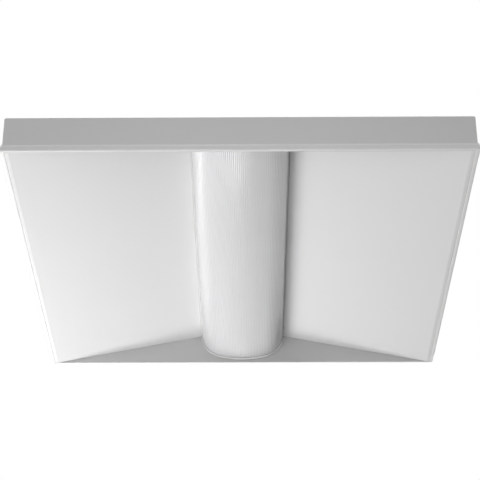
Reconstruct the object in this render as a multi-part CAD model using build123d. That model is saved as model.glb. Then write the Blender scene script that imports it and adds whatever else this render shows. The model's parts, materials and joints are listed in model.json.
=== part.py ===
from build123d import *
import math
import os

# Recessed troffer light, two feet square, in millimetres.
# X runs across the lens, Y along the lens, Z up into the ceiling.
# The origin is the centre of the face, which lies on z = 0.

# ---- Face, housing and sheet ----
face_width = 603.25
face_length = 603.25
housing_height = 52.5
steel = 0.8
lip_reach = 3.0
lip_height = 8.7
lip_flare = 0.5
lip_flare_height = 1.8
lip_bend = 1.6
side_trim_width = 6.0
side_trim_leg = 6.0
side_leg_bend = 0.7
end_trim_setback = 1.5
far_relief = 27.0
far_corner_radius = 4.0
near_corner_radius = 2.0
wall_corner_radius = 3.5
pan_bend = 2.6
sheet_bend = 1.2
end_flange_depth = 15.0
end_tab_depth = 27.0
side_screw_inset = 20.0
end_tab_margin = 4.0
bead_groove_end_room = 106.975
bead_groove_depth = 1.2
bead_groove_radius = 12.0
bead_groove_x = 100.0
side_screw_z = 30.0
end_screw_inset = 68.625
tray_screw_inset = 57.825

# ---- Reflectors ----
reflector_sheet = 0.6
reflector_flange = 10.7
reflector_upturn = 5.0
reflector_bend = 0.9
reflector_edge_bend = 0.5
reflector_end_gap = 0.4
end_plate_sheet = 0.6
roll_radius = 1.5
roll_x = 66.5
roll_pan_gap = 4.2
strap_sheet = 0.8
strap_foot = 12.0
strap_width = 20.0
strap_side_inset = 148.625
strap_end_inset = 147.225

# ---- Lens and its swinging frame ----
rim_roll_gap = 0.5
rim_bottom_radius = 150.0
rim_corner_radius = 36.0
rim_fall = 42.6
rim_thickness = 1.1
rim_depth = 3.0
rim_rail_gap = 1.0
lens_thickness = 2.0
lens_rim_gap = 0.3
lens_top_gap = 0.1
rib_pitch = 2.54
rib_depth = 0.4
rib_end_angle = 84.0
upright = 90.0
rail_wall = 1.0
rail_height = 5.0
rail_roll_drop = 0.2
groove_clearance = 0.15
hook_clearance = 0.1
hook_thickness = 1.2
hook_wrap = 20.0
port_radius = 2.4
port_overlap = 0.4
cap_sheet = 1.2
cap_rail_drop = 2.0
cap_end_gap = 0.8
cap_screw_margin = 0.2
ledge_port_gap = 1.6
ledge_depth = 4.0
cap_screw_radius = 1.3
cap_screw_head = 2.3
cap_screw_length = 10.0

# ---- LED tray and boards ----
tray_sheet = 1.0
tray_depth = 5.2
tray_foot = 9.0
tray_end_gap = 0.3
board_width = 20.0
board_end_room = 9.925
board_thickness = 1.5
board_x = 24.0
board_gap = 6.0
chip_length = 3.5
chip_width = 2.8
chip_height = 0.7
chips_per_board = 24
board_screws_each = 3
link_length = 14.0
link_height = 3.0
connector_length = 14.0
connector_width = 9.0
connector_height = 5.0
connector_inset = 22.925
lead_slot_width = 14.0
slot_clearance = 0.1

# ---- Spring catches ----
catch_sheet = 0.5
catch_width = 14.0
catch_inset = 96.925
catch_fin = 1.4
catch_fin_seat = 0.5
catch_gap = 0.55
catch_drop = 2.8
catch_top_gap = 0.4

# ---- Driver ----
driver_side_inset = 73.625
driver_far_room = 47.225
driver_length = 360.0
driver_width = 30.0
driver_height = 25.0
driver_sheet = 0.8
driver_tab = 22.0
driver_screw_inset = 5.5
terminal_width = 24.0
terminal_height = 11.0
terminal_depth = 11.0
terminal_drop = 6.9
circuit_thickness = 1.6
circuit_margin = 0.4
# Offset along Y, length, width and height of each box on the circuit board.
circuit_boxes = ((-140.0, 24.0, 20.0, 16.0), (-30.0, 34.0, 24.0, 19.0), (60.0, 26.0, 22.0, 15.0))
# Offset along Y and radius of each capacitor, all of one height.
circuit_cans = ((-100.0, 6.0), (-82.0, 6.0), (100.0, 8.0), (130.0, 8.0))
circuit_can_height = 18.0

# ---- Wiring ----
lead_diameter = 2.0
lead_pitch = 4.0
lead_gap = 0.3
lead_straight = 11.0
lead_bow = 0.9
lead_sag = 1.2
lead_bend_share = 0.45
# Route of the first output lead from the driver's terminals, as offsets in X, Y and Z:
# its bend, then the stretch that the clips hold.
output_bend = (-15.0, 22.0, 0.5)
clipped_route = ((-48.0, 23.0, 1.2), (-88.0, 20.0, 2.6), (-126.0, 17.0, 4.4))
output_start_x = 3.0
output_end_x = 160.0
ground_bend_x = 7.0
ground_bend_y = 10.5
ground_bend_z = 2.4
ground_straight = 8.0
plug_length = 28.0
plug_width = 20.0
plug_height = 13.0
plug_run = 49.0
cover_side_inset = 76.625
cover_end_inset = 66.625
cover_length = 78.0
cover_width = 68.0
opening_length = 56.0
opening_width = 46.0
knockout_radius = 11.1
knockout_groove = 0.6
knockout_inset = 118.625
knockout_z = 30.0
cover_screw_inset = 5.0
ground_inset = 36.625
ground_room = 33.0
barrel_angle = 135.0
barrel_length = 6.0
barrel_radius = 1.5
barrel_gap = 0.4
barrel_drop = 0.1
lead_clip_size = 9.0

# ---- Ceiling fixings ----
grid_clip_sheet = 1.0
grid_clip_width = 16.0
grid_clip_length = 46.0
grid_clip_tab = 5.0
grid_clip_inset = 13.6
grid_clip_end_inset = 97.825
grid_clip_lift = 0.2
rivet_radius = 2.4
rivet_head_radius = 4.2
rivet_head_height = 1.4
rivet_head_round = 1.0
rivet_tail_radius = 3.4
rod_hole_radius = 3.6
rod_hole_inset_x = 39.625
rod_hole_inset_y = 51.625

# ---- Screws ----
screw_radius = 1.9
screw_head_radius = 3.9
screw_head_height = 2.2
head_round_share = 0.6
screw_length = 4.5
small_screw_radius = 1.2
small_head_radius = 2.5
small_head_height = 1.4
small_screw_length = 3.0
recess_width = 0.8
shank_clearance = 0.05
cut_margin = 1.0
side_cut = 8.0

# ---- Places worked out from the sizes above ----
half_x = face_width / 2
half_y = face_length / 2
wall_x = half_x - lip_reach
wall_y = half_y - lip_reach
inner_y = wall_y - steel
pan_y = inner_y - (sheet_bend - steel / 2) - shank_clearance
plate_y = inner_y - end_plate_sheet
reflector_y = plate_y - reflector_end_gap
bead_groove_length = 2 * (pan_y - bead_groove_end_room)
end_screw_x = wall_x - end_screw_inset
tray_screw_y = inner_y - tray_screw_inset
pan_top = housing_height - steel
pan_under = pan_top - steel
roll_z = pan_under - roll_pan_gap
terminal_z = pan_under - terminal_drop
trim_inner_x = half_x - side_trim_width
flange_x = half_x - reflector_flange
roll_distance = math.hypot(flange_x - roll_x, roll_z)
slope = math.atan2(roll_z, flange_x - roll_x) - math.asin(roll_radius / roll_distance)
rim_half = roll_x - roll_radius - rim_roll_gap
corner_x = rim_half - rim_corner_radius
bottom_z = roll_z - rim_fall + rim_bottom_radius
corner_z = bottom_z - math.sqrt((rim_bottom_radius - rim_corner_radius) ** 2 - corner_x ** 2)
corner_angle = math.degrees(math.asin(corner_x / (rim_bottom_radius - rim_corner_radius)))
lens_inset = rim_thickness + lens_rim_gap
inner_inset = lens_inset + lens_thickness
rail_outer_x = rim_half - lens_inset + groove_clearance + rail_wall
rail_inner_x = rim_half - inner_inset - groove_clearance - rail_wall
rail_top = roll_z - rail_roll_drop
rail_low = rail_top - rail_height
rim_top = rail_low - rim_rail_gap
cap_top = rail_top - cap_rail_drop
lens_top = rail_top - rail_wall - lens_top_gap
port_x = rail_inner_x - port_radius + port_overlap
port_z = cap_top - cap_screw_margin - cap_screw_head
ledge_top = port_z - port_radius - ledge_port_gap
ledge_inset = inner_inset + lens_rim_gap
fin_outer_x = rail_inner_x + catch_fin_seat
fin_inner_x = fin_outer_x - catch_fin
tray_half = fin_inner_x - catch_gap - catch_sheet
cap_y = plate_y - cap_end_gap
rail_y = cap_y - cap_sheet
tray_under = pan_under - tray_depth
board_under = tray_under - board_thickness
tray_y = plate_y - tray_end_gap
tray_screw_x = tray_half - tray_foot / 2
board_length = tray_y - board_end_room - board_gap / 2
connector_y = tray_y - connector_inset
catch_y = tray_y - catch_inset
strap_x = wall_x - strap_side_inset
strap_y = plate_y - strap_end_inset
driver_x = wall_x - driver_side_inset
driver_y = plate_y - driver_far_room - driver_length / 2
driver_under = pan_under - driver_height
output_exit = driver_y + driver_length / 2 + terminal_depth
input_exit = driver_y - driver_length / 2 - terminal_depth
plug_y = input_exit - plug_run - plug_length / 2
cover_x = wall_x - cover_side_inset
cover_y = cover_end_inset - wall_y
ground_x = wall_x - ground_inset
ground_y = cover_y + cover_width / 2 + ground_room
knockout_x = wall_x - knockout_inset
grid_clip_x = wall_x - grid_clip_inset
grid_clip_y = inner_y - grid_clip_end_inset
rod_hole_x = half_x - rod_hole_inset_x
rod_hole_y = half_y - rod_hole_inset_y
catch_outer_x = fin_outer_x + catch_gap
catch_top = pan_under - catch_top_gap


# ---- Helpers ----
def along_y(profile, y_low, y_high):
    """Extrude a profile drawn as (x, z) from y_low to y_high."""
    section = Plane(origin=(0, y_high, 0), x_dir=(1, 0, 0), z_dir=(0, -1, 0)) * profile
    return extrude(section, amount=y_high - y_low)


def along_x(profile, x_low, x_high):
    """Extrude a profile drawn as (y, z) from x_low to x_high."""
    section = Plane(origin=(x_low, 0, 0), x_dir=(0, 1, 0), z_dir=(1, 0, 0)) * profile
    return extrude(section, amount=x_high - x_low)


def folded(points, radius, thickness):
    """Section of a folded sheet whose centre line passes the points."""
    return trace(FilletPolyline(*points, radius=radius), line_width=thickness)


def block(x_low, x_high, y_low, y_high, z_low, z_high):
    """Box between two corners."""
    centre = Pos((x_low + x_high) / 2, (y_low + y_high) / 2, (z_low + z_high) / 2)
    return centre * Box(x_high - x_low, y_high - y_low, z_high - z_low)


def drum(x, y, z_low, z_high, radius):
    """Upright cylinder between two heights."""
    return Pos(x, y, (z_low + z_high) / 2) * Cylinder(radius, z_high - z_low)


def rectangle(x_low, x_high, z_low, z_high):
    """Rectangle between two corners of a section."""
    return Pos((x_low + x_high) / 2, (z_low + z_high) / 2) * Rectangle(x_high - x_low, z_high - z_low)


def rim_point(inset, angle):
    """Point at an inset from the rim's outer line, its angle in degrees from straight down."""
    turn = math.radians(angle)
    if abs(angle) <= corner_angle:
        radius = rim_bottom_radius - inset
        return (radius * math.sin(turn), bottom_z - radius * math.cos(turn))
    radius = rim_corner_radius - inset
    return (math.copysign(corner_x, angle) + radius * math.sin(turn), corner_z - radius * math.cos(turn))


def rim_arc(inset, start, end):
    """Arc at an inset from the rim's outer line, between two angles of one of its three arcs."""
    return ThreePointArc(*[rim_point(inset, angle) for angle in (start, (start + end) / 2, end)])


def rim_arcs(inset):
    """The left corner, the flat arc below and the right corner, at an inset from the rim's outer line."""
    stops = (-upright, -corner_angle, corner_angle, upright)
    return [rim_arc(inset, start, end) for start, end in zip(stops, stops[1:])]


def bowl(inset, top):
    """Area inside the rim's line moved in by an inset: flat arc below, round corners, upright sides."""
    half = rim_half - inset
    high = max(top, corner_z + rail_height)
    lid = Polyline((half, corner_z), (half, high), (-half, high), (-half, corner_z))
    return make_face([*rim_arcs(inset), *lid.edges()]) & rectangle(-half, half, 0, top)


def shell(outer, inner, top):
    """Wall between two insets of the rim's line, up to a height."""
    return bowl(outer, top) - bowl(inner, top)


def gather(pieces):
    """Separate solids that share one node."""
    return Compound([solid for piece in pieces for solid in piece.solids()])


def screw(place, axis, radius, head_radius, head_height, length):
    """Pan head screw seated at place, its head on the axis side."""
    head = Pos(0, 0, head_height / 2) * Cylinder(head_radius, head_height)
    head = fillet(head.faces().sort_by(Axis.Z)[-1].edges(), head_height * head_round_share)
    for turn in (0, 90):
        head -= Pos(0, 0, head_height) * Rot(0, 0, turn) * Box(head_radius, recess_width, head_height)
    shank = Pos(0, 0, -length / 2) * Cylinder(radius, length)
    return Plane(origin=place, z_dir=axis) * (head + shank)


def large_screw(place, axis):
    return screw(place, axis, screw_radius, screw_head_radius, screw_head_height, screw_length)


def small_screw(place, axis, length=small_screw_length):
    return screw(place, axis, small_screw_radius, small_head_radius, small_head_height, length)


def corners(x, y):
    """The four corners of a centred rectangle."""
    return [(side * x, end * y) for side in (-1, 1) for end in (-1, 1)]


def left_of(piece):
    """The same piece on the other side of the lens."""
    return mirror(piece, about=Plane.YZ)


def reflector_back(x):
    """Height of the reflector's upper surface."""
    return (flange_x - x) * math.tan(slope) + reflector_sheet / math.cos(slope)


# ---- Where screws pass the housing ----
tray_screw_places = [(side * tray_screw_x, y) for side in (-1, 1) for y in (-tray_screw_y, 0, tray_screw_y)]
end_screw_y = inner_y - end_flange_depth / 2
end_screw_places = [(x, end * end_screw_y) for x in (-end_screw_x, 0, end_screw_x) for end in (-1, 1)]
driver_screw_offset = driver_length / 2 + driver_tab - driver_screw_inset
driver_screw_places = [(driver_x, driver_y + end * driver_screw_offset) for end in (-1, 1)]
cover_screw_offset = cover_length / 2 - cover_screw_inset
cover_screw_places = [(cover_x + end * cover_screw_offset, cover_y) for end in (-1, 1)]
grid_clip_places = corners(grid_clip_x, grid_clip_y)
rod_hole_places = corners(rod_hole_x, rod_hole_y)
side_screw_y = inner_y - side_screw_inset


# ---- Housing ----
def bead_groove(x):
    """Solid and hollow of one stiffening bead pressed down into the pan."""
    centre = Pos(x, 0, pan_top + bead_groove_radius - bead_groove_depth) * Rot(90, 0, 0)
    hollow = centre * Cylinder(bead_groove_radius, bead_groove_length)
    skin = centre * Cylinder(bead_groove_radius + steel, bead_groove_length + 2 * steel)
    skin &= block(x - wall_x, x + wall_x, -wall_y, wall_y, 0, pan_top)
    return skin, hollow


def housing_pan():
    side = wall_x - steel / 2
    top = pan_top - steel / 2
    section = folded([(-side, steel), (-side, top), (side, top), (side, steel)], pan_bend, steel)
    pan = along_y(section, -pan_y, pan_y)
    for x in (-bead_groove_x, bead_groove_x):
        skin, hollow = bead_groove(x)
        pan = pan + skin - hollow
    pan -= block(
        cover_x - opening_length / 2, cover_x + opening_length / 2,
        cover_y - opening_width / 2, cover_y + opening_width / 2,
        pan_under - cut_margin, pan_top + cut_margin,
    )
    drilled = [(place, screw_radius) for place in tray_screw_places + end_screw_places]
    drilled += [(place, screw_radius) for place in driver_screw_places + cover_screw_places]
    drilled += [((ground_x, ground_y), screw_radius)]
    drilled += [(place, rivet_radius) for place in grid_clip_places]
    for (x, y), radius in drilled:
        pan -= drum(x, y, pan_under - cut_margin, pan_top + cut_margin, radius + shank_clearance)
    for x, y in rod_hole_places:
        pan -= drum(x, y, pan_under - cut_margin, pan_top + cut_margin, rod_hole_radius)
    for x, y in corners(wall_x, side_screw_y):
        pan -= Pos(x, y, side_screw_z) * Rot(0, 90, 0) * Cylinder(screw_radius + shank_clearance, side_cut)
    return pan


def end_wall(end):
    """Outer wall at one end (-1 near, 1 far), with a top flange and two side tabs."""
    face = wall_y - steel / 2
    top = housing_height - steel / 2
    points = [(end * face, steel), (end * face, top), (end * (inner_y - end_flange_depth), top)]
    wall = along_x(folded(points, sheet_bend, steel), -wall_x, wall_x)
    outline = Pos(0, (housing_height + steel) / 2) * Rectangle(2 * wall_x, housing_height - steel)
    outline = fillet(outline.vertices().group_by(Axis.Y)[-1], wall_corner_radius)
    wall &= along_y(outline, -half_y, half_y)
    for side in (-1, 1):
        strip = sorted((side * (wall_x - end_tab_margin), side * (wall_x + cut_margin)))
        reach = sorted((0, end * inner_y))
        wall -= block(strip[0], strip[1], reach[0], reach[1], 0, housing_height + cut_margin)
        tab_x = sorted((side * (wall_x - 2 * steel), side * (wall_x - steel)))
        tab_y = sorted((end * (inner_y - end_tab_depth), end * (inner_y + steel / 2)))
        low = side_trim_leg + end_tab_margin
        high = pan_under - end_tab_margin
        tab = block(tab_x[0], tab_x[1], tab_y[0], tab_y[1], low, high)
        hole = Rot(0, 90, 0) * Cylinder(screw_radius + shank_clearance, side_cut)
        tab -= Pos(side * wall_x, end * side_screw_y, side_screw_z) * hole
        wall += tab
    for x, y in end_screw_places:
        wall -= drum(x, y, pan_top - cut_margin, housing_height + cut_margin, screw_radius + shank_clearance)
    return wall


def knockout_ring(x):
    """Cut of a knockout, half through the far wall."""
    place = Pos(x, wall_y, knockout_z) * Rot(90, 0, 0)
    ring = Cylinder(knockout_radius, steel) - Cylinder(knockout_radius - knockout_groove, steel)
    return place * ring


def end_wall_far():
    wall = end_wall(1)
    for x in (-knockout_x, knockout_x):
        wall -= knockout_ring(x)
    return wall


def lip_points(edge, inner):
    """Centre line of a trim from the top of its lip down and inwards along the face."""
    lip = edge - steel / 2
    foot = lip - lip_flare
    return [(lip, lip_height), (foot, lip_height - lip_flare_height), (foot, steel / 2), (inner, steel / 2)]


def side_trim():
    """Right trim: lip, face strip and a short inner leg."""
    leg = trim_inner_x + steel / 2
    points = lip_points(half_x, leg) + [(leg, side_trim_leg)]
    radii = [sheet_bend, lip_bend, side_leg_bend]
    trim = along_y(folded(points, radii, steel), -inner_y, inner_y)
    trim -= block(
        half_x - end_trim_setback, half_x + cut_margin, half_y - far_relief, half_y,
        -cut_margin, lip_height + cut_margin,
    )
    return trim


def end_trim(end, corner):
    """Trim strip across one end, under the end wall and a little short of both side trims."""
    half_width = half_x - end_trim_setback
    points = [(end * y, z) for y, z in lip_points(half_y, inner_y)]
    trim = along_x(folded(points, [sheet_bend, lip_bend], steel), -half_width, half_width)
    outline = RectangleRounded(2 * half_width, face_length, corner)
    return trim & extrude(outline, amount=lip_height + cut_margin)


def end_plate(end):
    """White inner plate that closes the reflector space at one end."""
    reach = sorted((end * plate_y, end * inner_y))
    half = trim_inner_x - reflector_sheet / 2
    return block(-half, half, reach[0], reach[1], 0, pan_under)


def wiring_cover():
    cover = block(
        cover_x - cover_length / 2, cover_x + cover_length / 2,
        cover_y - cover_width / 2, cover_y + cover_width / 2, pan_top, pan_top + steel,
    )
    cover = fillet(cover.edges().filter_by(Axis.Z), end_tab_margin)
    cover -= drum(cover_x, cover_y, pan_top - cut_margin, housing_height + cut_margin, knockout_radius)
    for x, y in cover_screw_places:
        cover -= drum(x, y, pan_top - cut_margin, housing_height + cut_margin, screw_radius + shank_clearance)
    return cover


# ---- Reflectors ----
def reflector():
    """Right reflector: upturned edge, flat flange, slope and rolled inner edge."""
    outer = trim_inner_x - reflector_sheet / 2
    low = reflector_sheet / 2
    inset = roll_radius - reflector_sheet / 2
    roll_end = (roll_x - inset * math.sin(slope), roll_z - inset * math.cos(slope))
    fold = (flange_x + low * math.tan(slope / 2), low)
    points = [(outer, reflector_upturn), (outer, low), fold, roll_end]
    section = folded(points, [reflector_edge_bend, reflector_bend], reflector_sheet)
    section += Pos(roll_x, roll_z) * Circle(roll_radius)
    return along_y(section, -reflector_y, reflector_y)


def reflector_strap():
    """Right strap from the pan down to the back of the reflector."""
    half = strap_sheet / 2
    top = pan_under - half
    low = reflector_back(strap_x) + half / math.cos(slope)
    foot_end = (strap_x + strap_foot * math.cos(slope), low - strap_foot * math.sin(slope))
    points = [(strap_x + strap_foot, top), (strap_x, top), (strap_x, low), foot_end]
    return along_y(folded(points, reflector_bend, strap_sheet), -strap_width / 2, strap_width / 2)


# ---- Lens frame ----
def rib_arcs(start, end, radius):
    """Convex ribs along one arc of the lens's outer line."""
    count = round(math.radians(end - start) * (radius - lens_inset) / rib_pitch)
    angles = [start + (end - start) * rib / count for rib in range(count + 1)]
    valley = lens_inset + rib_depth
    ribs = []
    for low, high in zip(angles, angles[1:]):
        crest = rim_point(lens_inset, (low + high) / 2)
        ribs.append(ThreePointArc(rim_point(valley, low), crest, rim_point(valley, high)))
    return ribs


def lens():
    """Diffuser with ribs outside and plain upright edges that slide into the two rails."""
    outer = [
        rim_arc(lens_inset, -upright, -rib_end_angle),
        *rib_arcs(-rib_end_angle, -corner_angle, rim_corner_radius),
        *rib_arcs(-corner_angle, corner_angle, rim_bottom_radius),
        *rib_arcs(corner_angle, rib_end_angle, rim_corner_radius),
        rim_arc(lens_inset, rib_end_angle, upright),
    ]
    steps = [Line(outer[0] @ 1, outer[1] @ 0), Line(outer[-2] @ 1, outer[-1] @ 0)]
    edges = []
    for side in (-1, 1):
        ends = [side * (rim_half - inset) for inset in (lens_inset, inner_inset)]
        top = Polyline((ends[0], corner_z), (ends[0], lens_top), (ends[1], lens_top), (ends[1], corner_z))
        edges += top.edges()
    return along_y(make_face([*outer, *steps, *rim_arcs(inner_inset), *edges]), -rail_y, rail_y)


def rail_section():
    """Right rail: a channel, open below, that holds one edge of the lens, and a screw port inside it."""
    section = rectangle(rail_inner_x, rail_outer_x, rail_top - rail_wall, rail_top)
    section += rectangle(rail_inner_x, rail_inner_x + rail_wall, rail_low, rail_top)
    section += rectangle(rail_outer_x - rail_wall, rail_outer_x, rail_low, rail_top)
    section += Pos(port_x, port_z) * Circle(port_radius)
    return section - Pos(port_x, port_z) * Circle(cap_screw_radius + shank_clearance)


def hook_section():
    """Hook round the rolled edge of the reflector, open below."""
    inner = roll_radius + hook_clearance
    outer = inner + hook_thickness
    ring = Circle(outer) - Circle(inner)
    below = Pos(0, -outer) * Rectangle(4 * outer, 2 * outer)
    ring = Pos(roll_x, roll_z) * (ring - (below & Rot(0, 0, -hook_wrap) * below))
    low = rail_top - rail_wall
    joint = make_face(Polyline(
        (roll_x - inner, roll_z), (roll_x - outer, roll_z), (rail_outer_x - rail_wall, low),
        (roll_x - inner, low), close=True,
    ))
    return ring + joint


def hinge_rail():
    return left_of(along_y(rail_section() + hook_section(), -rail_y, rail_y))


def latch_rail():
    rail = along_y(rail_section(), -rail_y, rail_y)
    foot = rail_top - rail_wall
    top = catch_top - catch_sheet - catch_gap
    for y in (-catch_y, catch_y):
        rail += block(fin_inner_x, fin_outer_x, y - catch_width / 2, y + catch_width / 2, foot, top)
    return rail


def cap_screw_places():
    return [(side * port_x, port_z) for side in (-1, 1)]


def lens_cap(end):
    """End cap: a plate, a rim outside the lens and a ledge inside it."""
    plate = along_y(bowl(0, cap_top), rail_y, cap_y)
    for x, z in cap_screw_places():
        seat = Plane(origin=(x, cap_y, z), z_dir=(0, 1, 0))
        plate -= seat * Cylinder(cap_screw_radius + shank_clearance, 4 * cap_sheet)
        plate -= seat * countersink(shank_clearance)
    plate += along_y(shell(0, rim_thickness, rim_top), rail_y - rim_depth, rail_y)
    ledge = shell(ledge_inset, ledge_inset + rim_thickness, ledge_top)
    plate += along_y(ledge, rail_y - ledge_depth, rail_y)
    return plate if end > 0 else mirror(plate, about=Plane.XZ)


def countersink(clearance):
    """Cone of a flush head, its wide end at the origin plane."""
    depth = cap_screw_head - cap_screw_radius
    cone = Cone(cap_screw_radius + clearance, cap_screw_head + clearance, depth)
    return Pos(0, 0, -depth / 2) * cone


def cap_screws():
    pieces = []
    for end in (-1, 1):
        for x, z in cap_screw_places():
            shank = Pos(0, 0, -cap_screw_length / 2) * Cylinder(cap_screw_radius, cap_screw_length)
            pieces.append(Plane(origin=(x, end * cap_y, z), z_dir=(0, end, 0)) * (countersink(0) + shank))
    return gather(pieces)


# ---- LED tray ----
def connector_slots():
    """Cuts that let the lead connectors through the boards and the tray."""
    half = connector_length / 2 + slot_clearance
    reach = connector_width / 2 + slot_clearance
    low = board_under - cut_margin
    high = tray_under + 2 * tray_sheet
    return [
        block(x - half, x + half, connector_y - reach, connector_y + reach, low, high)
        for x in (-board_x, board_x)
    ]


def board_screw_holes():
    low = board_under - cut_margin
    high = tray_under + 2 * tray_sheet
    radius = small_screw_radius + shank_clearance
    return [drum(x, y, low, high, radius) for x, y in board_screw_places()]


def led_tray():
    side = tray_half - tray_sheet / 2
    foot = pan_under - tray_sheet / 2
    plate = tray_under + tray_sheet / 2
    toe = tray_half - tray_foot
    points = [(-toe, foot), (-side, foot), (-side, plate), (side, plate), (side, foot), (toe, foot)]
    tray = along_y(folded(points, sheet_bend, tray_sheet), -tray_y, tray_y)
    for x, y in tray_screw_places:
        tray -= drum(x, y, pan_under - 2 * tray_sheet, pan_under + cut_margin, screw_radius + shank_clearance)
    tray -= connector_slots()
    half = lead_slot_width / 2
    tray -= block(
        toe - cut_margin, tray_half + cut_margin, connector_y - half, connector_y + half,
        tray_under + 2 * tray_sheet, pan_under + cut_margin,
    )
    return tray - board_screw_holes()


def board_centres():
    offset = (board_length + board_gap) / 2
    return [(side * board_x, end * offset) for side in (-1, 1) for end in (-1, 1)]


def board_screw_places():
    pitch = board_length / board_screws_each
    offsets = [(i - (board_screws_each - 1) / 2) * pitch for i in range(board_screws_each)]
    return [(x, y + offset) for x, y in board_centres() for offset in offsets]


def led_board(place):
    x, y = place
    board = block(
        x - board_width / 2, x + board_width / 2, y - board_length / 2, y + board_length / 2,
        board_under, tray_under,
    )
    return board - board_screw_holes() - connector_slots()


def led_chips():
    """LED packages at one pitch, left out under the screws and the connectors."""
    pitch = board_length / chips_per_board
    reach = chip_length / 2
    half = chip_width / 2
    low = board_under - chip_height
    kept_clear = [(hole_y, small_head_radius + reach) for _, hole_y in board_screw_places()]
    kept_clear.append((connector_y, connector_width / 2 + reach))
    pieces = []
    for x, y in board_centres():
        for chip in range(chips_per_board):
            chip_y = y + (chip - (chips_per_board - 1) / 2) * pitch
            if all(abs(chip_y - clear_y) >= room for clear_y, room in kept_clear):
                pieces.append(block(x - half, x + half, chip_y - reach, chip_y + reach, low, board_under))
    return gather(pieces)


def board_connectors():
    """Lead connectors that pass up through slots in the boards and the tray."""
    half = connector_length / 2
    low = connector_y - connector_width / 2
    high = connector_y + connector_width / 2
    top = tray_under + connector_height
    return gather([block(x - half, x + half, low, high, board_under, top) for x in (-board_x, board_x)])


def board_links():
    """Small bridges that join the two boards of each row."""
    half = board_width / 4
    reach = link_length / 2
    low = board_under - link_height
    return gather([block(x - half, x + half, -reach, reach, low, board_under) for x in (-board_x, board_x)])


def board_screws():
    return gather([small_screw((x, y, board_under), (0, 0, -1)) for x, y in board_screw_places()])


def spring_catches():
    """Two spring forks that grip the fins of the latch rail."""
    half = catch_sheet / 2
    base = tray_half + half
    top = catch_top - half
    low = top - catch_drop
    outer = catch_outer_x + half
    points = [(base, tray_under + 2 * catch_sheet), (base, top), (outer, top), (outer, low)]
    catch = along_y(folded(points, catch_sheet, catch_sheet), -catch_width / 2, catch_width / 2)
    return gather([Pos(0, y, 0) * catch for y in (-catch_y, catch_y)])


# ---- Driver ----
def driver_lid():
    """Flat back of the driver, with a fixing tab at each end."""
    half = driver_length / 2 + driver_tab
    low = pan_under - driver_sheet
    lid = block(
        driver_x - driver_width / 2, driver_x + driver_width / 2, driver_y - half, driver_y + half,
        low, pan_under,
    )
    for x, y in driver_screw_places:
        lid -= drum(x, y, low - cut_margin, pan_under + cut_margin, screw_radius + shank_clearance)
    return lid


def driver_case():
    top = pan_under - driver_sheet
    half_width = driver_width / 2
    half_length = driver_length / 2
    case = block(
        driver_x - half_width, driver_x + half_width, driver_y - half_length, driver_y + half_length,
        driver_under, top,
    )
    case = fillet(case.edges().group_by(Axis.Z)[0].filter_by(Axis.Y), sheet_bend)
    half_width -= driver_sheet
    half_length -= driver_sheet
    return case - block(
        driver_x - half_width, driver_x + half_width, driver_y - half_length, driver_y + half_length,
        driver_under + driver_sheet, top,
    )


def driver_circuit():
    """Circuit board with its capacitors, transformer and chokes, seated on the case floor."""
    floor = driver_under + driver_sheet
    half_width = driver_width / 2 - driver_sheet - circuit_margin
    half_length = driver_length / 2 - driver_sheet - circuit_margin
    top = floor + circuit_thickness
    board = block(
        driver_x - half_width, driver_x + half_width, driver_y - half_length, driver_y + half_length,
        floor, top,
    )
    for offset, length, width, height in circuit_boxes:
        board += Pos(driver_x, driver_y + offset, top + height / 2) * Box(width, length, height)
    for offset, radius in circuit_cans:
        board += drum(driver_x, driver_y + offset, top, top + circuit_can_height, radius)
    return board


def terminal_block(end):
    """Lead terminals on one end of the driver."""
    face = driver_y + end * driver_length / 2
    reach = sorted((face, face + end * terminal_depth))
    low = terminal_z - terminal_height / 2
    half = terminal_width / 2
    body = block(driver_x - half, driver_x + half, reach[0], reach[1], low, low + terminal_height)
    return fillet(body.edges().filter_by(Axis.Z), reflector_bend)


# ---- Leads ----
def lead_radii(points):
    """Arc radius at each corner: a share of the shorter run over the tangent of half the turn."""
    radii = []
    for before, corner, after in zip(points, points[1:], points[2:]):
        first = Vector(*corner) - Vector(*before)
        second = Vector(*after) - Vector(*corner)
        half_turn = math.radians(first.get_angle(second)) / 2
        radii.append(lead_bend_share * min(first.length, second.length) / math.tan(half_turn))
    return radii


def lead_path(points):
    return FilletPolyline(*points, radius=lead_radii(points))


def swept(points, radius):
    """Round rod of a radius along the points."""
    path = lead_path(points)
    return sweep(Plane(origin=path @ 0, z_dir=path % 0) * Circle(radius), path=path)


def lead(name, points):
    """Round lead through the points, with its radii and volume printed."""
    tube = swept(points, lead_diameter / 2)
    expected = math.pi * lead_diameter ** 2 / 4 * lead_path(points).length
    radii = [round(radius) for radius in lead_radii(points)]
    print(name, "radii", radii, "volume ratio", round(tube.volume / expected, 4))
    return tube


lead_level = roll_z + roll_radius + lead_diameter / 2 + lead_gap
bend_point, *clipped_points = [
    (driver_x + x, output_exit + y, terminal_z + z) for x, y, z in (output_bend, *clipped_route)
]
output_points = [
    (driver_x - output_start_x, output_exit, terminal_z),
    (driver_x - output_start_x, output_exit + lead_straight, terminal_z),
    bend_point,
    *clipped_points,
    (driver_x - output_end_x, connector_y + lead_pitch / 2, lead_level),
    (board_x + connector_length / 2, connector_y + lead_pitch / 2, lead_level),
]


def beside(points):
    """The same route one pitch further in, from the terminals to the connector."""
    first = (points[0][0] - lead_pitch, points[0][1], points[0][2])
    last = (points[-1][0], points[-1][1] - lead_pitch, points[-1][2])
    between = [(x - lead_pitch, y - lead_pitch, z) for x, y, z in points[1:-1]]
    return [first] + between + [last]


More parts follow.
